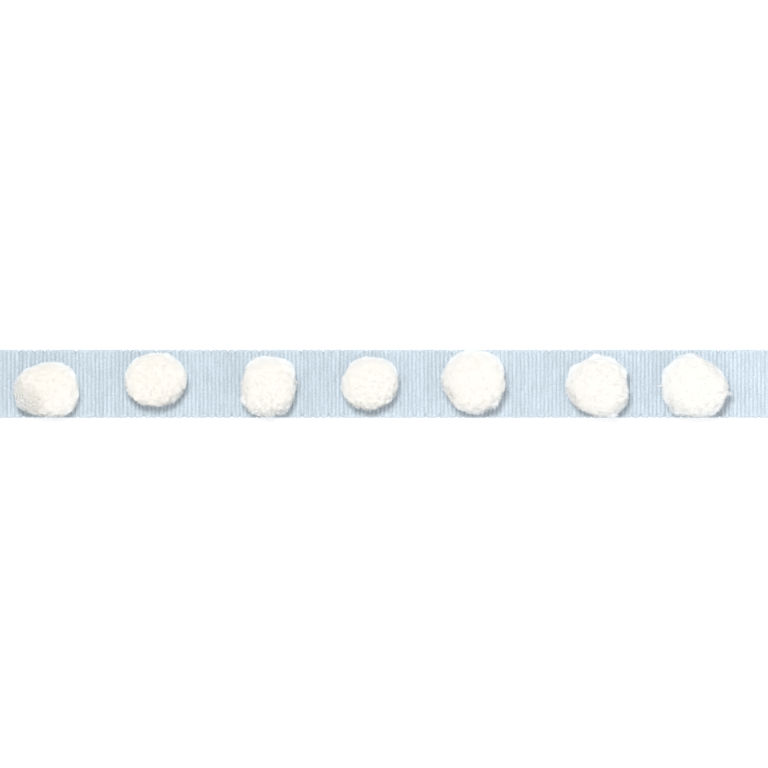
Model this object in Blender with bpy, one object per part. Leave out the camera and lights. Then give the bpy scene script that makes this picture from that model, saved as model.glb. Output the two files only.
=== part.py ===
"""Pompom trim: a ribbed grosgrain ribbon with cut-yarn pompoms sewn along its face.

The trim lies flat and face up. X runs along the ribbon, Y across it and Z up, in metres.
The origin is the middle of the ribbon's underside, which is the flat face it rests on.
"""
import math
from collections import namedtuple

import bmesh
import bpy
from mathutils import Matrix, Vector, noise

MM = 0.001

# Ribbon: a rib runs from edge to edge, and the weft turns back every second rib.
RIBBON_WIDTH = 22.2 * MM
RIB_PITCH = 1.3 * MM
RIB_COUNT = 194
CLOTH_THICKNESS = 1.0 * MM
RIB_RELIEF = 0.3 * MM
SELVEDGE_WIDTH = 1.5 * MM
LOOP_PITCH = 2 * RIB_PITCH
LOOP_DEPTH = 0.3 * MM
STATIONS_PER_RIB = 3

CLEARANCE = 0.3 * MM
WELD_DISTANCE = 0.003 * MM

# Pompoms: a body of packed yarn on a flat seat, with cut locks standing out of it.
SEAT_Z = CLOTH_THICKNESS + RIB_RELIEF + CLEARANCE
BODY_SEGMENTS = 20
BODY_RINGS = 10
BODY_FULLNESS = 0.9
PILE_INSET = 0.75 * MM
SEAT_LATITUDE = math.radians(-66)
LUMP_HEIGHT = 0.4 * MM
LUMP_TIGHTNESS = 2.6
LOCK_LENGTH = 0.9 * MM
LOCK_LENGTH_SPREAD = 0.35
LOCK_LEAN = 0.4 * MM
LOCK_TIP_SHARE = 0.62
NOISE_STEP = Vector((7.3, 3.1, 5.7))

COMPASS = ("east", "north_east", "north", "north_west", "west", "south_west", "south", "south_east")
Pompom = namedtuple("Pompom", "x y height " + " ".join(COMPASS))
# Middle of each pompom, its height above the seat and its reach towards eight sides, in mm.
POMPOMS = (
    #         x     y  height   e    ne     n    nw     w    sw     s    se
    Pompom(-109.2, -1.9, 15.0, 10.8, 10.8, 8.9, 9.7, 10.7, 10.0, 8.7, 11.0),
    Pompom(-73.9, 1.5, 14.2, 10.4, 9.5, 8.7, 9.5, 10.2, 10.2, 9.2, 9.7),
    Pompom(-37.4, -0.9, 14.8, 8.9, 10.0, 9.9, 10.4, 9.1, 10.4, 9.5, 9.5),
    Pompom(-4.5, 0.4, 13.6, 9.4, 9.2, 8.4, 8.9, 9.4, 9.7, 9.2, 8.7),
    Pompom(28.8, 0.7, 15.6, 10.7, 11.0, 10.6, 10.4, 10.7, 10.3, 10.4, 10.7),
    Pompom(68.9, -0.8, 15.0, 10.0, 10.2, 9.9, 9.7, 10.2, 9.9, 10.0, 10.7),
    Pompom(100.5, -0.5, 15.8, 11.0, 9.2, 10.5, 10.7, 11.0, 11.2, 10.5, 11.2),
)

# Rows of body faces, counted up from the seat, that carry locks: every so-manyth face.
LockRow = namedtuple("LockRow", "row every first")
LOCK_ROWS = (
    LockRow(row=4, every=2, first=0),
    LockRow(row=5, every=2, first=1),
    LockRow(row=6, every=2, first=0),
    LockRow(row=7, every=2, first=1),
)

Finish = namedtuple("Finish", "name color roughness")
RIBBON_FINISH = Finish("pale_blue_grosgrain", (0.60, 0.71, 0.80, 1.0), 0.75)
YARN_FINISH = Finish("cream_yarn", (0.90, 0.88, 0.83, 1.0), 0.95)


def clear_scene():
    """Remove every object, so that only the trim is built."""
    for obj in list(bpy.data.objects):
        bpy.data.objects.remove(obj, do_unlink=True)


def make_material(finish):
    """Return a Principled material with the finish's colour and roughness."""
    material = bpy.data.materials.new(finish.name)
    material.use_nodes = True
    shader = material.node_tree.nodes["Principled BSDF"]
    shader.inputs["Base Color"].default_value = finish.color
    shader.inputs["Roughness"].default_value = finish.roughness
    shader.inputs["Metallic"].default_value = 0.0
    material.diffuse_color = finish.color
    return material


def add_object(name, bm, material, location=(0.0, 0.0, 0.0)):
    """Turn a bmesh into a named object in the scene."""
    bmesh.ops.recalc_face_normals(bm, faces=bm.faces)
    mesh = bpy.data.meshes.new(name)
    bm.to_mesh(mesh)
    bm.free()
    mesh.materials.append(material)
    obj = bpy.data.objects.new(name, mesh)
    obj.location = location
    bpy.context.collection.objects.link(obj)
    return obj


# ---------------------------------------------------------------- ribbon

def rib_top(x):
    """Height of the ribbon's face at x: one rounded rib for each pitch."""
    return CLOTH_THICKNESS + RIB_RELIEF * abs(math.sin(math.pi * x / RIB_PITCH))


def selvedge_reach(x, lag):
    """Distance from the centre line to the edge, which swells at each loop of weft."""
    swell = abs(math.sin(math.pi * (x - lag) / LOOP_PITCH))
    return RIBBON_WIDTH / 2 - LOOP_DEPTH * (1 - swell)


def ribbon_section(x):
    """Six points round the ribbon's cross-section at x, from the front edge over the face."""
    inner = RIBBON_WIDTH / 2 - SELVEDGE_WIDTH
    top = rib_top(x)
    middle = CLOTH_THICKNESS / 2
    return (
        Vector((x, -selvedge_reach(x, lag=0.0), middle)),
        Vector((x, -inner, top)),
        Vector((x, inner, top)),
        Vector((x, selvedge_reach(x, lag=RIB_PITCH), middle)),
        Vector((x, inner, 0.0)),
        Vector((x, -inner, 0.0)),
    )


def build_ribbon(material):
    """A flat grid, one row of squares for each station, is rolled into the ribbon's section."""
    length = RIB_COUNT * RIB_PITCH
    stations = RIB_COUNT * STATIONS_PER_RIB
    sections = [ribbon_section(length * (i / stations - 0.5)) for i in range(stations + 1)]
    corners = len(sections[0])
    bm = bmesh.new()
    bmesh.ops.create_grid(bm, x_segments=stations, y_segments=corners, size=1.0)
    for vert in bm.verts:
        station = round((vert.co.x + 1) / 2 * stations)
        corner = round((vert.co.y + 1) / 2 * corners)
        vert.co = sections[station][corner % corners]
    bmesh.ops.remove_doubles(bm, verts=bm.verts, dist=WELD_DISTANCE)
    open_edges = [edge for edge in bm.edges if edge.is_boundary]
    bmesh.ops.holes_fill(bm, edges=open_edges, sides=corners)
    return add_object("ribbon", bm, material)


# ---------------------------------------------------------------- pompoms

def rim_reach(pompom, angle):
    """Reach of a pompom towards an angle, on the smooth wave through its eight compass reaches."""
    reaches = [getattr(pompom, side) * MM for side in COMPASS]
    count = len(reaches)
    total = 0.0
    for side, reach in enumerate(reaches):
        turn = angle - math.tau * side / count
        weight = 1 + 2 * sum(math.cos(k * turn) for k in range(1, count // 2))
        total += reach * (weight + math.cos(count // 2 * turn)) / count
    return total


def fuller(value):
    """Push a sine or cosine outwards, so that the ball is a little squarer than round."""
    return math.copysign(abs(value) ** BODY_FULLNESS, value)


def body_point(pompom, direction, phase):
    """Place a unit direction on the lumpy, squashed body of a pompom, above its flat seat."""
    latitude = max(math.asin(max(-1.0, min(1.0, direction.z))), SEAT_LATITUDE)
    height = pompom.height * MM
    lump = LUMP_HEIGHT * noise.noise(direction * LUMP_TIGHTNESS + phase)
    angle = math.atan2(direction.y, direction.x)
    spread = Vector((direction.x, direction.y)).length
    across = (rim_reach(pompom, angle) - PILE_INSET + lump) * fuller(spread)
    seat = fuller(math.sin(SEAT_LATITUDE))
    rise = (fuller(math.sin(latitude)) - seat) / (1 - seat)
    up = (height + lump) * rise
    return Vector((across * math.cos(angle), across * math.sin(angle), up))


def lock_faces(bm):
    """Pick the faces of the unit ball that carry a lock, row by row."""
    rows = {lock_row.row: lock_row for lock_row in LOCK_ROWS}
    picked = []
    for face in bm.faces:
        centre = face.calc_center_median().normalized()
        row = int((math.asin(centre.z) / math.pi + 0.5) * BODY_RINGS)
        column = int((math.atan2(centre.y, centre.x) / math.tau + 0.5) * BODY_SEGMENTS)
        lock_row = rows.get(row)
        if lock_row and column % lock_row.every == lock_row.first:
            picked.append(face)
    return picked


def raise_lock(bm, face, middle, phase):
    """Draw one square of the body out into a tapered, leaning lock."""
    centre = face.calc_center_median()
    away = (centre - middle).normalized()
    sway = noise.noise_vector(centre / LOCK_LENGTH + phase)
    length = LOCK_LENGTH * (1 + LOCK_LENGTH_SPREAD * sway.z)
    tip = centre + length * away + LOCK_LEAN * sway.cross(away)
    shrink = Matrix.Translation(tip) @ Matrix.Scale(LOCK_TIP_SHARE, 4) @ Matrix.Translation(-centre)
    bmesh.ops.transform(bm, matrix=shrink, verts=face.verts)


def build_pompom(number, pompom, material):
    """Build one pompom: a ball drawn to its outline, its locks fused to it at their roots."""
    phase = number * NOISE_STEP
    bm = bmesh.new()
    bmesh.ops.create_uvsphere(bm, u_segments=BODY_SEGMENTS, v_segments=BODY_RINGS, radius=1.0)
    carriers = lock_faces(bm)
    for vert in bm.verts:
        vert.co = body_point(pompom, vert.co.normalized(), phase)
    middle = Vector((0.0, 0.0, pompom.height * MM / 2))
    drawn = bmesh.ops.extrude_discrete_faces(bm, faces=carriers)["faces"]
    for face in drawn:
        raise_lock(bm, face, middle, phase)
    place = (pompom.x * MM, pompom.y * MM, SEAT_Z)
    return add_object(f"pompom_{number}", bm, material, place)


def main():
    """Build the ribbon and its row of pompoms."""
    clear_scene()
    build_ribbon(make_material(RIBBON_FINISH))
    yarn = make_material(YARN_FINISH)
    for number, pompom in enumerate(POMPOMS, start=1):
        build_pompom(number, pompom, yarn)


main()
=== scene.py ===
"""Looks of a pompom trim: a ribbed ribbon with cut-yarn pompoms, on a pale studio floor.

All sizes are in metres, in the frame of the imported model: X runs along the ribbon, Y across
it and Z up out of its face. The origin is the middle of the ribbon's underside.
"""
import logging
import math
from dataclasses import dataclass, field, replace
from enum import Enum, IntEnum

import bmesh
import bpy
import numpy as np
from bpy.types import Material, Node, NodeSocket, Object
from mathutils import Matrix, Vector
from mathutils.bvhtree import BVHTree
from numpy import ndarray as Array
from numpy.random import Generator, default_rng


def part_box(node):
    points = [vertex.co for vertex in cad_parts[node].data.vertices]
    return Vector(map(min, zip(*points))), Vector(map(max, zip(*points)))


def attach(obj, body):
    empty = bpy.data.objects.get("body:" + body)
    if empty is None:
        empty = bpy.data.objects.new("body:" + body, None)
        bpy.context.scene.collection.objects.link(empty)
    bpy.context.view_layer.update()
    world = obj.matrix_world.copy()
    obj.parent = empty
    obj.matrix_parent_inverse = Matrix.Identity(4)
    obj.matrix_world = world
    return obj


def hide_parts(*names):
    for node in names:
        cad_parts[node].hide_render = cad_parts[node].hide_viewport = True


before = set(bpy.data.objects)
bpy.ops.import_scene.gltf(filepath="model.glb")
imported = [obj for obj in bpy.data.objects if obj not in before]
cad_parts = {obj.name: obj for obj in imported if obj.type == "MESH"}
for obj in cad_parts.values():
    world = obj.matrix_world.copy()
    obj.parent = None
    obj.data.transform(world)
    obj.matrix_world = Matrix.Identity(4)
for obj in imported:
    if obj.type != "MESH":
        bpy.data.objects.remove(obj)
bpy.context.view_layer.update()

LOG = logging.getLogger("pompom_trim")
MM = 0.001
BAKE_MAP = "OFBake"
WAVE_SPREAD = (0.6, 1.5)
Color = tuple[float, float, float, float]
Span = tuple[float, float]
Triple = tuple[float, float, float]


class Body(Enum):
    """The bodies of the trim, of which there is one."""

    ROOT = "root"


class Slot(Enum):
    """Names of the material slots."""

    CLOTH = "ribbon_cloth"
    YARN = "pompom_yarn"


class Seed(IntEnum):
    """Where each set of random draws starts."""

    RIB_WANDER = 5
    RIB_QUIVER = 6
    PUCKERS = 11
    RIBS = 23
    LOOP_SWAY = 31
    LOOPS = 41
    POMPOMS = 100


class Paint(Enum):
    """Numbers stored on the points of a mesh for its finish to read."""

    RIB_PLACE = "rib_place"
    RIB_HEIGHT = "rib_height"
    # random variation from rib to rib, plus painted light and painted shade
    CLOTH_TONE_AND_LIGHT = "cloth_tone"
    # painted light and painted shade on the yarn
    PAINTED_LIGHT = "strand_lightness"
    TINT = "strand_tint"


# -------- shader kit

@dataclass(frozen=True)
class Shade:
    """A number that varies over a surface. Arithmetic on it adds Math nodes."""

    kit: "NodeKit"
    socket: NodeSocket

    def math(self, operation: str, *values: "Shade | float") -> "Shade":
        """Apply one Math node to its inputs, in order, and return its output."""
        return self.kit.shade("ShaderNodeMath", {"operation": operation}, dict(enumerate(values)))

    def __add__(self, other: "Shade | float") -> "Shade":
        """Return self + other."""
        return self.math("ADD", self, other)

    __radd__ = __add__

    def __sub__(self, other: "Shade | float") -> "Shade":
        """Return self - other."""
        return self.math("SUBTRACT", self, other)

    def __rsub__(self, other: "Shade | float") -> "Shade":
        """Return other - self."""
        return self.math("SUBTRACT", other, self)

    def __mul__(self, other: "Shade | float") -> "Shade":
        """Return self * other."""
        return self.math("MULTIPLY", self, other)

    __rmul__ = __mul__

    def __pow__(self, other: float) -> "Shade":
        """Return self to a power."""
        return self.math("POWER", self, other)

    def __mod__(self, other: float) -> "Shade":
        """Return the remainder of self over other."""
        return self.math("MODULO", self, other)

    def __abs__(self) -> "Shade":
        """Return self without its sign."""
        return self.math("ABSOLUTE", self)

    def __floor__(self) -> "Shade":
        """Return self rounded down."""
        return self.math("FLOOR", self)

    def sine(self) -> "Shade":
        """Return the sine of self, in radians."""
        return self.math("SINE", self)


class NodeKit:
    """Builds the nodes of one material."""

    MIX_A = 6
    MIX_B = 7
    MIX_COLOR_OUT = 2

    def __init__(self, name: str) -> None:
        """Start an empty material.

        Args:
            name: The material's name.
        """
        self.material = bpy.data.materials.new(name)
        self.material.use_nodes = True
        self.tree = self.material.node_tree
        self.tree.nodes.clear()

    def node(self, kind: str, settings: dict, sockets: dict) -> Node:
        """Add a node.

        Args:
            kind: The node's type.
            settings: The node's own properties, which are set first.
            sockets: A value or a link for each input, by name or index.

        Returns:
            The new node.
        """
        node = self.tree.nodes.new(kind)
        for key, value in settings.items():
            setattr(node, key, value)
        for key, value in sockets.items():
            value = getattr(value, "socket", value)
            if isinstance(value, NodeSocket):
                self.tree.links.new(value, node.inputs[key])
            else:
                node.inputs[key].default_value = value
        return node

    def shade(self, kind: str, settings: dict, sockets: dict, output: str | int = 0) -> Shade:
        """Add a node and wrap one of its outputs, by name or index."""
        return Shade(self, self.node(kind, settings, sockets).outputs[output])

    def painted(self, paint: Paint) -> Shade:
        """Return one of the numbers stored on the mesh, as it varies over the surface."""
        return self.shade("ShaderNodeAttribute", {"attribute_name": paint.value}, {}, "Fac")

    def mixed(self, share: Shade, first: "Shade | Color", second: "Shade | Color") -> Shade:
        """Mix two colours, from the first where share is 0 to the second where it is 1."""
        sockets = {0: share, self.MIX_A: first, self.MIX_B: second}
        return self.shade("ShaderNodeMix", {"data_type": "RGBA"}, sockets, self.MIX_COLOR_OUT)

    def scaled(self, color: Shade, factor: Shade) -> Shade:
        """Brighten or darken a colour by a factor."""
        sockets = {0: color, "Scale": factor}
        return self.shade("ShaderNodeVectorMath", {"operation": "SCALE"}, sockets)

    def mottle(self, place: NodeSocket, size: Triple) -> Shade:
        """Return soft random mottling.

        Args:
            place: The point on the surface.
            size: How far the mottling's blotches reach along X, Y and Z.

        Returns:
            A number around 0, seldom under -0.25 or over 0.25.
        """
        sockets = {0: place, 1: tuple(1 / reach for reach in size)}
        spot = self.shade("ShaderNodeVectorMath", {"operation": "MULTIPLY"}, sockets)
        noise = {"Vector": spot, "Scale": 1.0, "Detail": 1.0}
        return self.shade("ShaderNodeTexNoise", {}, noise) - 0.5

    def finished(self, sockets: dict) -> Material:
        """Close the material with a Principled shader.

        Args:
            sockets: A value or a link for each of the shader's inputs.

        Returns:
            The material.
        """
        surface = self.node("ShaderNodeBsdfPrincipled", {}, sockets)
        self.node("ShaderNodeOutputMaterial", {}, {"Surface": surface.outputs["BSDF"]})
        return self.material


# -------- finishes

@dataclass(frozen=True)
class RibbedCloth:
    """Pale blue grosgrain: fine warp floats that wrap each rib, staggered from rib to rib."""

    name: str = "pale_blue_ribbed_cloth"
    # crest and valley are the cloth's blue plus painted light: a painted highlight on the crests
    # and painted shade in the valleys
    crest: Color = (0.585, 0.670, 0.738, 1.0)
    valley: Color = (0.445, 0.529, 0.598, 1.0)
    crest_narrowness: float = 1.5
    float_pitch: float = 0.42 * MM
    float_relief: float = 0.06 * MM
    float_sharpness: float = 0.7
    # painted shade in the gaps between warp floats
    gap_painted_shade: float = 0.12
    gap_roughness: float = 0.2
    streak: float = 0.42
    streak_size: Triple = (0.40 * MM, 5.0 * MM, 0.40 * MM)
    speckle: float = 0.55
    speckle_size: Triple = (0.45 * MM, 0.5 * MM, 0.45 * MM)
    roughness: float = 0.55
    sheen: float = 0.15

    def material(self) -> Material:
        """Build the cloth's material.

        Returns:
            The material.
        """
        kit = NodeKit(self.name)
        place = kit.node("ShaderNodeTexCoord", {}, {}).outputs["Object"]
        across = kit.shade("ShaderNodeSeparateXYZ", {}, {0: place}, "Y")
        rib = kit.painted(Paint.RIB_HEIGHT)
        odd_rib = math.floor(kit.painted(Paint.RIB_PLACE)) % 2
        turns = across * (math.pi / self.float_pitch) + odd_rib * (math.pi / 2)
        thread = abs(turns.sine()) ** self.float_sharpness
        streak = kit.mottle(place, self.streak_size)
        speckle = kit.mottle(place, self.speckle_size)
        # painted shade between the warp floats, times the stored random variation and painted light
        shading = kit.painted(Paint.CLOTH_TONE_AND_LIGHT) * (1 - self.gap_painted_shade * (1 - thread))
        shading = shading * (1 + self.streak * streak + self.speckle * speckle)
        # mixing by rib height paints shade into the valleys and a highlight onto the crests
        dye_and_rib_shade = kit.mixed(rib ** self.crest_narrowness, self.valley, self.crest)
        color = kit.scaled(dye_and_rib_shade, shading)
        relief = {"Height": thread * rib, "Distance": self.float_relief}
        bump = kit.node("ShaderNodeBump", {}, relief)
        return kit.finished({
            "Base Color": color,
            "Roughness": self.roughness + self.gap_roughness * (1 - thread),
            "Normal": bump.outputs["Normal"],
            "Sheen Weight": self.sheen,
        })


@dataclass(frozen=True)
class CutYarn:
    """Cream-white cut pile, scaled by painted light: lighter round its sides and at its roots, with
    painted shade in loose creases.
    """

    name: str = "cream_white_cut_yarn"
    cream: Color = (0.783, 0.750, 0.687, 1.0)
    white: Color = (0.850, 0.884, 0.903, 1.0)
    painted_shade_floor: float = 0.88
    roughness: float = 0.9
    sheen: float = 0.3

    def material(self) -> Material:
        """Build the yarn's material.

        Returns:
            The material.
        """
        kit = NodeKit(self.name)
        color = kit.mixed(kit.painted(Paint.TINT), self.cream, self.white)
        # painted light and shade scale the yarn colour
        shading = self.painted_shade_floor + (1 - self.painted_shade_floor) * kit.painted(Paint.PAINTED_LIGHT)
        return kit.finished({
            "Base Color": kit.scaled(color, shading),
            "Roughness": self.roughness,
            "Sheen Weight": self.sheen,
        })


@dataclass(frozen=True)
class PaleFloor:
    """Matt white studio floor that glows a little, as a light table does."""

    name: str = "pale_floor"
    color: Color = (0.51, 0.51, 0.51, 1.0)
    roughness: float = 0.9
    glow: float = 1.15

    def material(self) -> Material:
        """Build the floor's material.

        Returns:
            The material.
        """
        return NodeKit(self.name).finished({
            "Base Color": self.color,
            "Roughness": self.roughness,
            "Emission Color": self.color,
            "Emission Strength": self.glow,
        })


# -------- mesh helpers

def ripple(places: Array, wavelength: float, seed: int, waves: int = 9) -> Array:
    """Give smooth random relief, mostly between -1 and 1.

    Args:
        places: Points, one to a row.
        wavelength: The usual distance from crest to crest.
        seed: Picks the relief.
        waves: How many plane waves are summed.

    Returns:
        One number for each point.
    """
    draw = default_rng(seed)
    total = np.zeros(len(places))
    for _ in range(waves):
        heading = draw.normal(size=places.shape[1])
        heading *= math.tau / wavelength * draw.uniform(*WAVE_SPREAD) / np.linalg.norm(heading)
        total += np.sin(places @ heading + draw.uniform(0, math.tau))
    return total / math.sqrt(waves)


def smooth_step(values: Array, start: float, end: float) -> Array:
    """Ease from 0 where values are at the start or under it to 1 at the end or over it."""
    share = np.clip((values - start) / (end - start), 0, 1)
    return share * share * (3 - 2 * share)


def unit(vectors: Array) -> Array:
    """Scale each row to length 1."""
    return vectors / np.linalg.norm(vectors, axis=-1, keepdims=True)


def spread_directions(count: int) -> Array:
    """Spread directions evenly over a sphere, on a golden-angle spiral.

    Args:
        count: How many directions.

    Returns:
        Unit vectors, one to a row, from the bottom up.
    """
    golden_angle = math.pi * (3 - math.sqrt(5))
    step = np.arange(count)
    height = (2 * step + 1) / count - 1
    level = np.sqrt(1 - height ** 2)
    turn = golden_angle * step
    return np.stack([level * np.cos(turn), level * np.sin(turn), height], axis=1)


@dataclass
class Draft:
    """A mesh before Blender has it: points, faces, the bake map and stored numbers."""

    points: Array
    faces: list[list[int]]
    corner_map: Array
    paint: dict[Paint, Array]
    normals: Array | None = None

    def joined(self, other: "Draft") -> "Draft":
        """Put another draft's faces behind this one's.

        Args:
            other: A draft with the same kinds of paint, with normals if this one has them.

        Returns:
            One draft of both.
        """
        start = len(self.points)
        moved = [[start + corner for corner in face] for face in other.faces]
        return Draft(
            np.vstack([self.points, other.points]),
            self.faces + moved,
            np.vstack([self.corner_map, other.corner_map]),
            {key: np.concatenate([self.paint[key], other.paint[key]]) for key in self.paint},
            np.vstack([self.normals, other.normals]),
        )

    def piece(self, name: str, material: Material, slot: Slot) -> Object:
        """Make the object, dress it and let it ride on the trim.

        Args:
            name: The piece's name.
            material: Its finish.
            slot: Not used.

        Returns:
            The piece.
        """
        mesh = bpy.data.meshes.new(name)
        mesh.from_pydata(self.points.tolist(), [], self.faces)
        for key, values in self.paint.items():
            stored = mesh.attributes.new(key.value, "FLOAT", "POINT")
            stored.data.foreach_set("value", values.astype(np.float32))
        layer = mesh.uv_layers.new(name=BAKE_MAP)
        layer.uv.foreach_set("vector", self.corner_map.astype(np.float32).ravel())
        mesh.shade_smooth()
        if self.normals is not None:
            mesh.normals_split_custom_set_from_vertices(self.normals.tolist())
        mesh.materials.append(material)
        obj = bpy.data.objects.new(name, mesh)
        bpy.context.scene.collection.objects.link(obj)
        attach(obj, Body.ROOT.value)
        LOG.info("%s: %d points, %d faces", name, len(mesh.vertices), len(mesh.polygons))
        return obj


# -------- ribbon

@dataclass
class GrosgrainRibbon:
    """The ribbon: a thin closed sheet with ribs on both faces and looped selvedges.

    It is laid out as rings of points along its length. A ring starts at the -Y edge and runs
    over the top and back under. Zones are measured in from the edge, in selvedge widths.
    """

    SQUARE = ((0, 0), (1, 0), (1, 1), (0, 1))
    MAP_SPAN = 0.97
    TILE_SPAN = 0.95
    END_PLACE = 0.975
    END_SCALE = 20
    END_SPAN = 0.45

    node: str = "ribbon"
    rib_pitch: float = 1.3 * MM
    thickness: float = 1.05 * MM
    rib_relief: float = 0.22 * MM
    rib_roundness: float = 0.8
    rib_unevenness: float = 0.25
    selvedge: float = 1.4 * MM
    selvedge_flatness: float = 0.5
    selvedge_height: float = 0.8
    looped_zone: Span = (0.15, 0.6)
    flat_zone: Span = (0.4, 1.1)
    bite_zone: Span = (0.0, 2.0)
    edge_zone: Span = (0.4, 1.2)
    gap_zone: Span = (0.1, 0.4)
    near_loop_depth: float = 0.30 * MM
    far_loop_depth: float = 0.48 * MM
    loop_unevenness: float = 0.8
    loop_roundness: float = 0.22
    notch_reach: float = 0.5
    loop_sway: float = 0.35
    loop_sway_ribs: float = 7.0
    # painted shade in the gaps between weft loops
    loop_gap_painted_shade: float = 0.44
    loop_gap_sharpness: float = 1.5
    # painted light along both selvedges
    edge_painted_light: float = 0.035
    edge_radius: float = 0.45 * MM
    wander: float = 0.030 * MM
    wander_length: float = 7 * MM
    quiver: float = 0.015 * MM
    quiver_length: float = 1.6 * MM
    pucker: float = 0.22 * MM
    pucker_length: float = 9 * MM
    pucker_ring: float = 9.0 * MM
    pucker_width: float = 3.0 * MM
    pucker_mean: float = 0.5
    pucker_swing: float = 0.6
    pucker_limit: float = 1.3
    tone_spread: float = 0.02
    # painted light: the cloth gets lighter from the left end to the right
    painted_light_slope: float = 0.042
    columns_per_rib: int = 8
    rows_to_middle: int = 12
    map_tiles: int = 4
    length: float = field(init=False)
    width: float = field(init=False)
    rib_count: int = field(init=False)
    stations: int = field(init=False)
    flat_x: Array = field(init=False)
    inset: Array = field(init=False)
    side: Array = field(init=False)
    face: Array = field(init=False)
    place: Array = field(init=False)

    def __post_init__(self) -> None:
        """Take the ribbon's place from the frame and lay out its rings of points.

        A point keeps how far in from the nearer edge it is, its side and face, and how many
        ribs along the ribbon it is.
        """
        low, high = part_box(self.node)
        self.length = high.x - low.x
        self.width = high.y - low.y
        self.rib_count = round(self.length / self.rib_pitch)
        self.stations = self.rib_count * self.columns_per_rib
        steps = np.arange(4 * self.rows_to_middle)
        half_turn = 2 * self.rows_to_middle
        over = np.where(steps <= half_turn, steps, 2 * half_turn - steps)
        from_edge = np.minimum(over, half_turn - over) / self.rows_to_middle
        self.inset = (self.width / 2 * from_edge ** 2)[None]
        self.side = np.where(over < self.rows_to_middle, -1.0, 1.0)[None]
        self.face = np.where(steps <= half_turn, 1.0, -1.0)[None]
        self.flat_x = np.linspace(low.x, high.x, self.stations + 1)[:, None]
        self.place = self.flat_x / self.rib_pitch + 0 * self.inset

    def inside(self, zone: Span) -> Array:
        """Ease from 0 at a zone's outer line to 1 at its inner one."""
        return smooth_step(self.inset, zone[0] * self.selvedge, zone[1] * self.selvedge)

    def loop_swell(self) -> Array:
        """Swell the weft loops, of which one edge's lie a rib behind the other's.

        Returns:
            0 between loops and 1 at their middles.
        """
        lag = np.where(self.side > 0, 1.0, 0.0)
        sway = ripple(self.place[:, :1], self.loop_sway_ribs, Seed.LOOP_SWAY)[:, None]
        return np.abs(np.sin(math.pi / 2 * (self.place - lag + self.loop_sway * sway * self.side)))

    def per_loop(self) -> Array:
        """Draw a number from 0 to 1 for each weft loop, which changes at the loop's middle."""
        number = np.floor((self.place + np.where(self.side > 0, 2, 1)) / 2).astype(int)
        return default_rng(Seed.LOOPS).random(2 * self.rib_count)[number + self.rib_count]

    def rib_height(self) -> Array:
        """Shape the ribs, which join in pairs as the weft turns back at the selvedge.

        Returns:
            The height of the weave from 0 in a valley to 1 on a crest.
        """
        body = np.abs(np.sin(math.pi * self.place)) ** self.rib_roundness
        loop = self.loop_swell() ** self.rib_roundness
        looped = body + (loop - body) * (1 - self.inside(self.looped_zone))
        flat = self.selvedge_flatness * (1 - self.inside(self.flat_zone))
        return looped + (self.selvedge_height - looped) * flat

    def lift(self, spots: Array, x: Array, y: Array) -> Array:
        """Pucker the cloth softly where each pompom's stitches draw it in.

        Args:
            spots: Middles of the pompoms, one to a row.
            x: Places along the ribbon.
            y: Places across it.

        Returns:
            How far the cloth is raised at each point.
        """
        apart = np.stack([np.hypot(x - spot[0], y - spot[1]) for spot in spots]).min(0)
        ring = np.exp(-((apart - self.pucker_ring) / self.pucker_width) ** 2)
        flat_places = np.stack([x.ravel(), y.ravel()], axis=1)
        relief = ripple(flat_places, self.pucker_length, Seed.PUCKERS).reshape(x.shape)
        rise = np.clip(self.pucker_mean + self.pucker_swing * relief, 0, self.pucker_limit)
        return self.pucker * ring * rise

    def draft(self, spots: Array) -> Draft:
        """Work out the ribbon's mesh.

        Args:
            spots: Middles of the pompoms, one to a row.

        Returns:
            The draft of the whole ribbon.
        """
        swell, uneven = self.loop_swell(), self.per_loop()
        depth = np.where(self.side > 0, self.far_loop_depth, self.near_loop_depth)
        depth = depth * (1 + self.loop_unevenness * (2 * uneven - 1))
        notch = 1 - smooth_step(swell, 0.0, self.notch_reach)
        bite = depth * (notch + self.loop_roundness * (1 - swell - notch))
        bite *= 1 - self.inside(self.bite_zone)
        y = self.side * (self.width / 2 - self.inset - bite)
        flat_places = np.stack([(self.flat_x + 0 * y).ravel(), y.ravel()], axis=1)
        to_end = np.clip((self.length / 2 - np.abs(self.flat_x)) / self.selvedge, 0, 1)
        sway = self.wander * ripple(flat_places, self.wander_length, Seed.RIB_WANDER)
        sway += self.quiver * ripple(flat_places, self.quiver_length, Seed.RIB_QUIVER)
        x = self.flat_x + to_end * sway.reshape(y.shape)
        draw = default_rng(Seed.RIBS)
        evenness = 1 - self.rib_unevenness * draw.random(self.rib_count + 1)
        rib = np.clip(np.floor(self.place).astype(int) + self.rib_count // 2, 0, self.rib_count)
        height = self.rib_height()
        half = self.thickness / 2 - self.rib_relief * (1 - height * evenness[rib])
        rounding = np.sqrt(1 - (1 - np.minimum(self.inset / self.edge_radius, 1)) ** 2)
        z = self.thickness / 2 + self.lift(spots, x, y) + self.face * half * rounding
        # random variation from rib to rib, then painted light and painted shade added
        tone_and_painted_light = 1 + self.tone_spread * draw.normal(size=self.rib_count + 1)[rib]
        # painted light, lighter towards the right end
        tone_and_painted_light += self.painted_light_slope * 2 * self.flat_x / self.length
        at_edge = 1 - self.inside(self.edge_zone)
        # painted light along the selvedges
        tone_and_painted_light += self.edge_painted_light * at_edge
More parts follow.
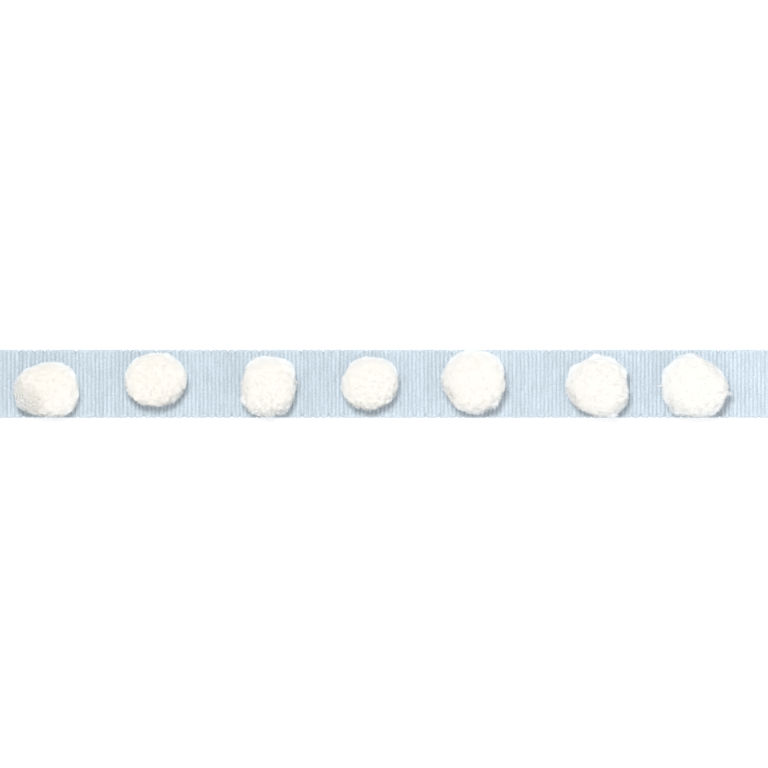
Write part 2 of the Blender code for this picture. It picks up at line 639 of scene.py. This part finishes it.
        # painted shade in the gaps between weft loops, stronger at some loops than at others
        gap_shade_share = (1 - swell) ** self.loop_gap_sharpness * at_edge * self.inside(self.gap_zone)
        tone_and_painted_light *= 1 - self.loop_gap_painted_shade * uneven * gap_shade_share
        return Draft(
            np.stack([x, y, z], axis=-1).reshape(-1, 3),
            self.faces(),
            self.bake_places(y, z),
            {
                Paint.RIB_PLACE: self.place.ravel(),
                Paint.RIB_HEIGHT: height.ravel(),
                Paint.CLOTH_TONE_AND_LIGHT: tone_and_painted_light.ravel(),
            },
        )

    def faces(self) -> list[list[int]]:
        """List the ribbon's faces: squares from ring to ring, then the two cut ends.

        Returns:
            The corners of each face.
        """
        ring = self.inset.size
        station, row = np.indices((self.stations, ring))
        corners = [
            (station + ahead) * ring + (row + beside) % ring
            for ahead, beside in self.SQUARE
        ]
        first_end = list(range(ring))
        last_end = [self.stations * ring + corner for corner in reversed(first_end)]
        return np.stack(corners, axis=-1).reshape(-1, 4).tolist() + [first_end, last_end]

    def bake_places(self, y: Array, z: Array) -> Array:
        """Cut both faces of the ribbon into lengths and lay them side by side on the bake map.

        Args:
            y: Places across the ribbon, by station and row.
            z: Heights, by station and row.

        Returns:
            A place on the map for each corner of each face.
        """
        stations, ring = self.stations, self.inset.size
        lengths = self.map_tiles * self.map_tiles // 2
        tile = self.MAP_SPAN / self.map_tiles
        station, row = np.indices((stations, ring))
        number = station * lengths // stations + np.where(row < ring // 2, 0, lengths)
        start = (number % lengths) * stations / lengths
        across = y / self.width + 0.5
        corners = []
        for ahead, beside in self.SQUARE:
            u = (station + ahead - start) * lengths / stations
            v = across[station + ahead, (row + beside) % ring]
            corners.append(np.stack([
                tile * (number % self.map_tiles + self.TILE_SPAN * u),
                tile * (number // self.map_tiles + self.TILE_SPAN * v),
            ], axis=-1))
        outward = self.END_PLACE + self.END_SCALE * z
        first, last = (
            np.stack([outward[end], base + self.END_SPAN * across[end]], axis=1)
            for end, base in ((0, 0.0), (-1, 0.5))
        )
        return np.vstack([np.stack(corners, axis=2).reshape(-1, 2), first, last[::-1]])

    def build(self, spots: Array, finish: RibbedCloth) -> Object:
        """Weave the ribbon and let it stand for its solid.

        Args:
            spots: Middles of the pompoms, one to a row.
            finish: The cloth's finish.

        Returns:
            The ribbon.
        """
        ribbon = self.draft(spots).piece("grosgrain_ribbon", finish.material(), Slot.CLOTH)
        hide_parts(self.node)
        return ribbon


# -------- pompoms

def aim(heading: float, tilt: float) -> Array:
    """Turn a heading and a tilt above the level, in degrees, into a direction.

    Args:
        heading: The compass angle, anticlockwise from +X.
        tilt: The angle above the level.

    Returns:
        A unit vector.
    """
    turn, rise = math.radians(heading), math.radians(tilt)
    level = math.cos(rise)
    return np.array([level * math.cos(turn), level * math.sin(turn), math.sin(rise)])


@dataclass(frozen=True)
class Spot:
    """A round patch on a pompom, with angles in degrees."""

    heading: float
    amount: float
    spread: float
    tilt: float = 0.0

    def weigh(self, aims: Array) -> Array:
        """Return the amount in each direction: full in the patch's middle, fading all round."""
        width = 1 - math.cos(math.radians(self.spread))
        return self.amount * np.exp((aims @ aim(self.heading, self.tilt) - 1) / width)


def weigh_all(spots: tuple[Spot, ...], aims: Array) -> Array:
    """Add up the amounts of some patches in each direction."""
    return sum((spot.weigh(aims) for spot in spots), np.zeros(len(aims)))


@dataclass(frozen=True)
class StrayTuft:
    """A few long strands that reach out of a pompom's pile, in mm and degrees."""

    heading: float
    tilt: float
    reach: float
    strands: int
    spread: float = 3.0


@dataclass
class Strands:
    """Cut fibres, each a bent three-sided spike along a path from its root to its tip."""

    SIDES = 3
    CORE_SHARE = 1 / 8
    STRAND_SHARE = 1 / 64

    paths: Array
    girths: Array
    reference: Array
    facing: Array
    tint: Array
    # painted light and shade at each strand's root and tip
    root_painted_light: Array
    tip_painted_light: Array

    def draft(self, lowest: float) -> Draft:
        """Work out the mesh of all the strands.

        Args:
            lowest: The height of the cloth, which no strand goes through.

        Returns:
            Their draft.
        """
        count, stations = self.paths.shape[:2]
        tangents = unit(np.gradient(self.paths, axis=1))
        beside = unit(np.cross(tangents, self.reference[:, None]))
        around = np.cross(tangents, beside)
        turns = math.tau * np.arange(self.SIDES)[:, None] / self.SIDES
        offsets = np.cos(turns) * beside[:, :-1, None] + np.sin(turns) * around[:, :-1, None]
        rings = self.paths[:, :-1, None] + self.girths[:, None, None] / 2 * offsets
        points = np.concatenate([rings.reshape(count, -1, 3), self.paths[:, -1:]], axis=1)
        points[..., 2] = np.maximum(points[..., 2], lowest)
        normals = np.concatenate([offsets.reshape(count, -1, 3), tangents[:, -1:]], axis=1)
        normals = unit(normals + self.facing[:, None])
        pattern, sides, shares = self.pattern(stations)
        per_strand = points.shape[1]
        along = np.append(np.repeat(np.linspace(0, 1, stations)[:-1], self.SIDES), 1.0)
        # painted light along each strand, from its root to its tip
        root = self.root_painted_light[:, None]
        rise = self.tip_painted_light[:, None] - root
        across = self.CORE_SHARE + (1 - self.CORE_SHARE - self.STRAND_SHARE) * self.tint[:, None]
        across = across + self.STRAND_SHARE * sides
        return Draft(
            points.reshape(-1, 3),
            (pattern + per_strand * np.arange(count)[:, None, None]).reshape(-1, 3).tolist(),
            np.stack([across, root + rise * shares], axis=-1).reshape(-1, 2),
            {
                Paint.PAINTED_LIGHT: (root + rise * along).ravel(),
                Paint.TINT: np.repeat(self.tint, per_strand),
            },
            normals.reshape(-1, 3),
        )

    def pattern(self, stations: int) -> tuple[Array, Array, Array]:
        """List the faces of one strand.

        Args:
            stations: How many points its path has.

        Returns:
            The corners of each face, and each corner's share round and along the strand.
        """
        rings = stations - 1
        faces, sides, shares = [], [], []
        for ring in range(rings):
            low, high = ring / rings, (ring + 1) / rings
            for side in range(self.SIDES):
                here = ring * self.SIDES + side
                after = ring * self.SIDES + (side + 1) % self.SIDES
                left, right = side / self.SIDES, (side + 1) / self.SIDES
                if ring == rings - 1:
                    faces += [[here, after, rings * self.SIDES]]
                    sides += [left, right, (left + right) / 2]
                    shares += [low, low, high]
                    continue
                above, beyond = here + self.SIDES, after + self.SIDES
                faces += [[here, after, beyond], [here, beyond, above]]
                sides += [left, right, right, left, right, left]
                shares += [low, low, high, low, high, high]
        return np.array(faces), np.array(sides), np.array(shares)


@dataclass
class SoftShell:
    """The smooth surface that a pompom's pile is trimmed to, read from its solid."""

    node: str
    cloth_top: float
    bulges: tuple[Spot, ...]
    probe_count: int = 1500
    blur_degrees: float = 8.0
    middle: Array = field(init=False)
    half: Array = field(init=False)
    top: float = field(init=False)
    stretch: float = field(init=False)
    probes: Array = field(init=False)
    reaches: Array = field(init=False)

    def __post_init__(self) -> None:
        """Measure the solid from its middle in every direction."""
        low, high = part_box(self.node)
        self.middle = np.array((low + high) / 2)
        self.half = np.array((high - low) / 2)
        self.top = high.z
        self.stretch = (self.top - self.cloth_top) / (self.top - low.z)
        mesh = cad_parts[self.node].data
        corners = [vert.co for vert in mesh.vertices]
        tree = BVHTree.FromPolygons(corners, [tuple(face.vertices) for face in mesh.polygons])
        self.probes = spread_directions(self.probe_count)
        start = Vector(self.middle)
        self.reaches = np.array([tree.ray_cast(start, Vector(probe))[3] for probe in self.probes])

    def surface(self, aims: Array) -> Array:
        """Find the surface, drawn down so that it meets the cloth.

        Args:
            aims: Unit vectors from the middle.

        Returns:
            A point of the surface for each of them.
        """
        blur = 1 - math.cos(math.radians(self.blur_degrees))
        weights = np.exp((aims @ self.probes.T - 1) / blur)
        reach = weights @ self.reaches / weights.sum(axis=1)
        reach += weigh_all(self.bulges, aims) * MM
        points = self.middle + reach[:, None] * aims
        points[:, 2] = self.top - (self.top - points[:, 2]) * self.stretch
        return points

    def facing(self, aims: Array) -> Array:
        """Return which way a ball squashed like the pompom faces in each direction."""
        return unit(aims / (self.half / self.half.max()) ** 2)


@dataclass(frozen=True)
class Clipping:
    """How one pompom was cut: bulges and dents in mm, loose and pale patches, stray tufts."""

    # the yarn's own tint, partly painted light: it rises from the left end to the right, as the
    # light does
    whiteness_and_light: float
    bulges: tuple[Spot, ...]
    ruffled: tuple[Spot, ...]
    curled: tuple[Spot, ...] = ()
    pale: tuple[Spot, ...] = ()
    strays: tuple[StrayTuft, ...] = ()


@dataclass
class YarnPompom:
    """One pompom: a core of packed yarn under a dense pile of leaning, clumped strands."""

    ASIDE = np.array([[0.36, 0.48, 0.80]])
    CORE_MAP_SPAN = 0.45

    number: int
    clipping: Clipping
    cloth_top: float
    strand_count: int = 12400
    clump_count: int = 3000
    clump_growth: float = 1.3
    unevenness: float = 1.2
    girth: float = 0.14 * MM
    knee_taper: float = 0.9
    core_rise: float = 0.30 * MM
    crown_rise: float = 0.07 * MM
    root_depth: float = 0.30 * MM
    pile_height: float = 0.42 * MM
    knee_share: float = 0.6
    clump_height: float = 0.025 * MM
    strand_height: float = 0.04 * MM
    lay: float = 0.28 * MM
    scatter: float = 0.12 * MM
    bend: float = 0.8
    gather: float = 0.8
    knee_gather: float = 0.6
    ruffle_height: float = 0.42 * MM
    ruffle_depth: float = 0.6 * MM
    core_drop: float = 0.80 * MM
    curled_drop: float = 0.7
    tuft_evenness: float = 0.55
    tuft_flare: Span = (0.5, 1.5)
    curl_spots: int = 3400
    curl_stations: int = 9
    curl_girth: float = 0.34 * MM
    curl_blunt: float = 0.2
    curl_radius: float = 0.36 * MM
    curl_turn: float = math.radians(250)
    curl_height: float = 0.46 * MM
    curl_dip: float = 0.3
    turn_spread: Span = (0.7, 1.2)
    radius_spread: Span = (0.7, 1.4)
    height_spread: Span = (0.7, 1.3)
    softness: float = 4.0
    crispness: float = 4.5
    uplift: float = 3.0
    # painted light: the pile lighter round its sides and at its roots, with painted shade where it
    # is loose
    pile_lightness: float = 0.62
    rim_painted_light: float = 0.38
    root_painted_lift: float = 0.12
    loose_painted_shade: float = 0.2
    tint_spread: float = 0.04
    # painted light: white round the rim, more on the +Y side
    rim_painted_white: float = 1.09
    rim_sharpness: float = 3.4
    far_side_painted_light: float = 1.1
    ruffle_whiteness: float = 0.15
    core_detail: int = 5
    seat_limit: float = -0.72
    fray_start: float = 0.15
    fray_span: float = 0.4
    fray_depth: float = 0.25 * MM
    shell: SoftShell = field(init=False)

    def __post_init__(self) -> None:
        """Read the pompom's surface from its solid."""
        self.shell = SoftShell(self.node, self.cloth_top, self.clipping.bulges)

    @property
    def node(self) -> str:
        """Name of the solid that this pompom stands for."""
        return f"pompom_{self.number}"

    def ruffling(self, aims: Array) -> Array:
        """Return how ruffled the pile is in each direction."""
        return weigh_all(self.clipping.ruffled, aims)

    def curling(self, aims: Array) -> Array:
        """Return how curled the pile is in each direction."""
        return weigh_all(self.clipping.curled, aims)

    def looseness(self, aims: Array) -> Array:
        """Return how loose the pile is in each direction, ruffled or curled."""
        return self.ruffling(aims) + self.curling(aims)

    def fraying(self, aims: Array) -> Array:
        """Return how open the pile is in each direction, from 0 above to 1 underneath."""
        return np.clip((self.fray_start - aims[:, 2]) / self.fray_span, 0, 1)

    def facing(self, aims: Array) -> Array:
        """Return which way the pile faces: turned up, as fibres that lie over show their sides."""
        uplift = self.uplift * (1 - self.fraying(aims))
        return unit(self.shell.facing(aims) + np.outer(uplift, [0, 0, 1]))

    def tip_painted_light(self, aims: Array) -> Array:
        """Return the painted light at the pile's tips, lighter round its sides."""
        return np.clip(self.pile_lightness + self.rim_painted_light * (1 - aims[:, 2]), 0, 1)

    def root_painted_light(self, aims: Array) -> Array:
        """Return the painted light at the pile's roots: lighter than the tips, with painted shade
        where it is loose.
        """
        shade = self.loose_painted_shade * self.looseness(aims)
        return np.clip(self.tip_painted_light(aims) + self.root_painted_lift - shade, 0, 1)

    def tint(self, aims: Array) -> Array:
        """Tell cream yarn from white. Painted light whitens the rim, most on the +Y side, and
        ruffled places are whiter.

        Args:
            aims: Directions from the middle of the pompom.

        Returns:
            The tint in each direction, from cream at 0 to white at 1.
        """
        # painted light round the rim, strongest on the +Y side
        rim = (1 - aims[:, 2]) ** self.rim_sharpness * (1 - self.fraying(aims))
        rim *= 1 + self.far_side_painted_light * np.maximum(aims[:, 1], 0)
        tint = self.clipping.whiteness_and_light + self.rim_painted_white * rim
        tint += self.ruffle_whiteness * self.ruffling(aims)
        return tint + weigh_all(self.clipping.pale, aims)

    def core(self) -> Draft:
        """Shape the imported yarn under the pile.

        Returns:
            The draft of the core.
        """
        ball = bmesh.new()
        bmesh.ops.create_icosphere(ball, subdivisions=self.core_detail, radius=1.0)
        aims = unit(np.array([vert.co for vert in ball.verts]))
        faces = [[vert.index for vert in face.verts] for face in ball.faces]
        ball.free()
        rise = self.core_rise + self.crown_rise * np.maximum(aims[:, 2], 0) ** 2
        rise -= self.fray_depth * self.fraying(aims)
        rise -= self.core_drop * (self.ruffling(aims) + self.curled_drop * self.curling(aims))
        points = self.shell.surface(aims) + rise[:, None] * aims
        points[:, 2] = np.maximum(points[:, 2], self.cloth_top)
        corners = aims[np.array(faces)]
        upper = corners[..., 2].mean(axis=1, keepdims=True) > 0
        spots = corners[..., :2] * self.CORE_MAP_SPAN + 0.5
        across = spots[..., 0] * Strands.CORE_SHARE
        up = (spots[..., 1] + upper) / 2
        bake_places = np.stack([across, up], axis=-1).reshape(-1, 2)
        # the core carries the roots' painted light and painted shade
        paint = {
            Paint.PAINTED_LIGHT: self.root_painted_light(aims),
            Paint.TINT: np.clip(self.tint(aims), 0, 1),
        }
        return Draft(points, faces, bake_places, paint, self.facing(aims))

    def spots(self, count: int, draw: Generator) -> Array:
        """Scatter so many directions evenly over a whole ball, with a little unevenness."""
        jitter = draw.normal(scale=self.unevenness / math.sqrt(count), size=(count, 3))
        return unit(spread_directions(count) + jitter)

    def pile(self, draw: Generator) -> Strands:
        """Grow the pile: strands that rise out of the core and lie over with their clump.

        Args:
            draw: Source of its unevenness.

        Returns:
            The strands of the pile and of the stray tufts.
        """
        aims = self.spots(self.strand_count, draw)
        aims = aims[aims[:, 2] > self.seat_limit]
        clumps = self.spots(self.clump_count, draw)
        growth = 1 + self.clump_growth * self.ruffling(clumps)
        clumps = clumps[draw.random(len(clumps)) * growth < 1]
        clump = np.argmax(aims @ clumps.T, axis=1)
        ruffled, loose = self.ruffling(aims), self.looseness(aims)
        side = unit(np.cross(aims, draw.normal(size=clumps.shape)[clump]))
        turn = (self.bend * draw.normal(size=len(clumps))[clump] * (1 + loose))[:, None]
        bent = np.cos(turn) * side + np.sin(turn) * np.cross(aims, side)
        height = self.clump_height + self.ruffle_height * ruffled
        height *= draw.normal(size=len(clumps))[clump]
        height += self.pile_height + self.strand_height * draw.normal(size=len(aims))
        rise = height[:, None] * aims
        surface = self.shell.surface(aims)
        knees = surface + self.knee_share * rise + self.lay * side
        knees += self.scatter * draw.normal(size=aims.shape)
        tips = knees + (1 - self.knee_share) * rise + self.lay * bent
        tips += self.scatter * draw.normal(size=aims.shape)
        reach = np.linalg.norm(surface - self.shell.middle, axis=1)
        drawn_in = (self.gather * loose * reach)[:, None]
        knees += self.knee_gather * drawn_in * (clumps[clump] - aims)
        tips += drawn_in * (clumps[clump] - aims)
        roots = surface - (self.root_depth + self.ruffle_depth * loose)[:, None] * aims
        tint = draw.normal(size=len(clumps))[clump] + draw.normal(size=len(aims))
        tufts = [self.stray(tuft, draw) for tuft in self.clipping.strays]
        paths = np.stack([roots, knees, tips], axis=1)
        return self.strands(
            np.concatenate([paths, *(grown for grown, _ in tufts)]),
            np.concatenate([aims, *(ways for _, ways in tufts)]),
            np.concatenate([tint, *(np.zeros(len(ways)) for _, ways in tufts)]),
            self.girth * np.array([1.0, self.knee_taper]),
            self.ASIDE,
        )

    def strands(
        self, paths: Array, aims: Array, tint: Array, girths: Array, reference: Array,
    ) -> Strands:
        """Turn paths into yarn.

        Args:
            paths: The points of each strand, from root to tip.
            aims: The direction of each strand from the middle of the pompom.
            tint: How much each strand differs in tint.
            girths: The girth at each point of a path but its last.
            reference: What the sides of the strands are turned square to.

        Returns:
            The strands.
        """
        looseness = self.looseness(aims) + self.fraying(aims)
        softness = (self.softness / (1 + self.crispness * looseness))[:, None]
        return Strands(
            paths,
            girths,
            reference,
            softness * self.facing(aims),
            np.clip(self.tint(aims) + self.tint_spread * tint, 0, 1),
            self.root_painted_light(aims),
            self.tip_painted_light(aims),
        )

    def stray(self, tuft: StrayTuft, draw: Generator) -> tuple[Array, Array]:
        """Grow one stray tuft.

        Args:
            tuft: Where it stands and how far it reaches.
            draw: Source of its unevenness.

        Returns:
            Paths of its strands, and their directions from the middle of the pompom.
        """
        main = aim(tuft.heading, tuft.tilt)
        scatter = draw.normal(scale=math.sin(math.radians(tuft.spread)), size=(tuft.strands, 3))
        aims = unit(main + scatter)
        roots = self.shell.surface(aims) - self.root_depth * aims
        reach = tuft.reach * MM * draw.uniform(self.tuft_evenness, 1, (tuft.strands, 1))
        half = (self.root_depth + self.pile_height + reach) / 2
        knee_flare, tip_flare = self.tuft_flare
        knees = roots + half * unit(main + knee_flare * scatter)
        tips = knees + half * unit(main + tip_flare * scatter)
        return np.stack([roots, knees, tips], axis=1), aims

    def curls(self, draw: Generator) -> Strands:
        """Lay curled ends of yarn over the curled patches.

        Args:
            draw: Source of their unevenness.

        Returns:
            The curls, each a hook that rises out of the pile and dips back into it.
        """
        aims = self.spots(self.curl_spots, draw)
        aims = aims[draw.random(len(aims)) < self.curling(aims)]
        side = unit(np.cross(aims, draw.normal(size=aims.shape)))[:, None]
        ahead = np.cross(aims[:, None], side)
        share = np.linspace(0, 1, self.curl_stations)[None, :, None]
        shape = (len(aims), 1, 1)
        turn = self.curl_turn * share * draw.uniform(*self.turn_spread, shape)
        turn *= draw.choice([-1.0, 1.0], shape)
        radius = self.curl_radius * draw.uniform(*self.radius_spread, shape)
        height = self.curl_height * (np.sin(math.pi * share) ** 0.5 - self.curl_dip)
        height = height * draw.uniform(*self.height_spread, shape)
        paths = self.shell.surface(aims)[:, None] + height * aims[:, None]
        paths += radius * (np.cos(turn) * side + np.sin(turn) * ahead)
        taper = np.linspace(self.curl_blunt, 1, self.curl_stations)[:-1]
        girths = self.curl_girth * np.sin(math.pi * taper) ** 0.5
        curls = self.strands(paths, aims, draw.normal(size=len(aims)), girths, aims)
        # curls carry their tips' painted light all along
        return replace(curls, root_painted_light=curls.tip_painted_light)

    def build(self, material: Material) -> Object:
        """Make the pompom and let it stand for its solid.

        Args:
            material: The yarn's finish.

        Returns:
            The pompom.
        """
        draw = default_rng(Seed.POMPOMS + self.number)
        whole = self.core().joined(self.pile(draw).draft(self.cloth_top))
        if self.clipping.curled:
            whole = whole.joined(self.curls(draw).draft(self.cloth_top))
        pompom = whole.piece(f"yarn_pompom_{self.number}", material, Slot.YARN)
        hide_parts(self.node)
        return pompom


# -------- studio

@dataclass(frozen=True)
class Lamp:
    """A round soft light, by the direction it shines from."""

    name: str
    watts: float
    size: float
    toward: Triple


@dataclass
class Studio:
    """Pale floor, soft light from above and a camera that looks straight down."""

    view_width: float = 248.5 * MM
    view_level: float = 5.0 * MM
    view_shift: float = -0.13 * MM
    lens_mm: float = 400.0
    sensor_mm: float = 36.0
    floor_half: float = 10.0
    world_strength: float = 0.67
    key: Lamp = Lamp("soft_key", 14.4, 0.30, (-0.08, 0.22, 0.97))
    fill: Lamp = Lamp("wide_fill", 4.0, 1.6, (0.50, -0.70, 0.50))
    lamp_distance: float = 1.5

    def floor(self) -> None:
        """Lay the floor."""
        half = self.floor_half
        corners = [(-half, -half, 0.0), (half, -half, 0.0), (half, half, 0.0), (-half, half, 0.0)]
        mesh = bpy.data.meshes.new("studio_floor")
        mesh.from_pydata(corners, [], [range(4)])
        mesh.materials.append(PaleFloor().material())
        floor = bpy.data.objects.new("studio_floor", mesh)
        bpy.context.scene.collection.objects.link(floor)

    def hang(self, lamp: Lamp) -> None:
        """Hang a light.

        Args:
            lamp: Its power, its size and where it shines from.
        """
        light = bpy.data.lights.new(lamp.name, "AREA")
        light.shape = "DISK"
        light.size = lamp.size
        light.energy = lamp.watts
        hung = bpy.data.objects.new(lamp.name, light)
        toward = Vector(lamp.toward).normalized()
        hung.location = toward * self.lamp_distance
        hung.rotation_euler = toward.to_track_quat("Z", "Y").to_euler()
        bpy.context.scene.collection.objects.link(hung)

    def light(self) -> None:
        """Hang both lights and set the even light all round."""
        self.hang(self.key)
        self.hang(self.fill)
        world = bpy.data.worlds.new("studio_air")
        world.use_nodes = True
        air = world.node_tree.nodes["Background"]
        air.inputs["Color"].default_value = (1.0, 1.0, 1.0, 1.0)
        air.inputs["Strength"].default_value = self.world_strength
        bpy.context.scene.world = world

    def camera(self) -> None:
        """Set the camera over the middle of the trim."""
        lens = bpy.data.cameras.new("overhead_camera")
        lens.lens = self.lens_mm
        lens.sensor_width = self.sensor_mm
        distance = self.view_width * self.lens_mm / self.sensor_mm
        lens.clip_start = distance / 10
        lens.clip_end = distance * 2
        camera = bpy.data.objects.new("overhead_camera", lens)
        camera.location = (0.0, self.view_shift, self.view_level + distance)
        bpy.context.scene.collection.objects.link(camera)
        bpy.context.scene.camera = camera

    def build(self) -> None:
        """Set up the floor, the light and the camera."""
        self.floor()
        self.light()
        self.camera()
        bpy.context.scene.view_settings.view_transform = "Standard"
        LOG.info("studio: floor, key and fill lights, overhead camera")


# -------- trim

# each pompom's tint rises from pompom 1 to pompom 7, partly painted light
POMPOMS = (
    Clipping(
        whiteness_and_light=0.05,
        bulges=(
            Spot(115, -0.5, 26), Spot(68, -0.35, 14), Spot(90, 0.3, 9),
            Spot(15, -0.3, 14), Spot(210, 0.3, 12),
        ),
        ruffled=(Spot(-75, 0.5, 25, tilt=-12), Spot(170, 0.5, 20)),
        curled=(Spot(203, 1.0, 27, tilt=30), Spot(232, 0.5, 16, tilt=48)),
        pale=(
            Spot(-38, 0.14, 30, tilt=35), Spot(-95, 0.1, 28, tilt=30),
            Spot(60, 0.1, 22, tilt=10), Spot(205, 0.3, 25, tilt=30),
        ),
        strays=(StrayTuft(-140, 0, 0.4, 14),),
    ),
    Clipping(
        whiteness_and_light=0.09,
        bulges=(Spot(115, -0.5, 18), Spot(258, -0.7, 18), Spot(222, -0.4, 14), Spot(332, -0.2, 10)),
        ruffled=(Spot(-45, 0.8, 28, tilt=-12), Spot(-165, 0.6, 20, tilt=-10)),
        strays=(StrayTuft(-98, -5, 0.3, 14), StrayTuft(-35, 0, 0.4, 10)),
    ),
    Clipping(
        whiteness_and_light=0.16,
        bulges=(
            Spot(43, 0.95, 17), Spot(152, -1.1, 22), Spot(210, 0.4, 10),
            Spot(345, -0.4, 12), Spot(303, 0.8, 16), Spot(272, 0.8, 17),
        ),
        ruffled=(
            Spot(-80, 0.9, 35, tilt=-14), Spot(172, 0.6, 22, tilt=-12), Spot(-5, 0.7, 22, tilt=-12),
        ),
        strays=(StrayTuft(-60, 0, 0.3, 14),),
    ),
    Clipping(
        whiteness_and_light=0.18,
        bulges=(
            Spot(42, 0.5, 15), Spot(151, -1.2, 10), Spot(190, 0.5, 8),
            Spot(252, -0.9, 13), Spot(322, 0.45, 20),
        ),
        ruffled=(Spot(-105, 0.7, 30, tilt=-14), Spot(-20, 0.4, 20, tilt=-12)),
        strays=(StrayTuft(-120, -5, 0.4, 16), StrayTuft(-40, 0, 0.3, 12)),
    ),
    Clipping(
        whiteness_and_light=0.19,
        bulges=(
            Spot(45, 0.4, 11), Spot(62, -0.3, 10), Spot(7, -0.4, 12), Spot(150, -0.3, 8),
            Spot(205, -0.9, 22), Spot(268, 0.5, 12), Spot(315, 0.6, 13), Spot(195, 0.5, 8),
        ),
        ruffled=(Spot(-60, 0.8, 28, tilt=-14), Spot(178, 0.7, 22, tilt=-10)),
        curled=(Spot(-152, 0.5, 18, tilt=25),),
        strays=(StrayTuft(-3, 0, 0.5, 12), StrayTuft(-150, 0, 0.5, 12)),
    ),
    Clipping(
        whiteness_and_light=0.22,
        bulges=(
            Spot(30, 0.8, 12), Spot(60, 0.3, 12), Spot(93, 0.95, 10), Spot(122, -0.35, 8),
            Spot(146, 0.85, 13), Spot(180, 0.35, 14), Spot(248, -0.9, 12), Spot(-61, 1.7, 10),
            Spot(330, 0.8, 18),
        ),
        ruffled=(Spot(-45, 0.8, 25, tilt=-12), Spot(-110, 0.6, 22, tilt=-12)),
        curled=(Spot(-155, 0.5, 18, tilt=22),),
        strays=(StrayTuft(-62, 0, 0.5, 24, 4.0),),
    ),
    Clipping(
        whiteness_and_light=0.33,
        bulges=(
            Spot(72, -1.3, 16), Spot(155, 0.9, 12), Spot(180, -0.2, 10),
            Spot(337, -0.3, 12), Spot(300, 0.9, 14), Spot(233, 0.8, 12),
        ),
        ruffled=(Spot(-100, 0.7, 30, tilt=-14), Spot(-20, 0.5, 22, tilt=-12)),
        curled=(Spot(-140, 0.35, 15, tilt=20),),
        strays=(StrayTuft(181, 4, 2.4, 9, 1.2), StrayTuft(-15, 4, 1.8, 22, 1.6)),
    ),
)


def write_sizes() -> None:
    """Bring the view layer up to date."""
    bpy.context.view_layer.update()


def main() -> None:
    """Build the studio, the ribbon and its pompoms, and report each piece."""
    logging.basicConfig(level=logging.INFO, format="%(name)s: %(message)s")
    Studio().build()
    weave = GrosgrainRibbon()
    balls = [
        YarnPompom(number, clipping, weave.thickness)
        for number, clipping in enumerate(POMPOMS, start=1)
    ]
    ribbon = weave.build(np.array([ball.shell.middle[:2] for ball in balls]), RibbedCloth())
    yarn = CutYarn().material()
    pompoms = [ball.build(yarn) for ball in balls]
    write_sizes()


if __name__ == "__main__":
    main()
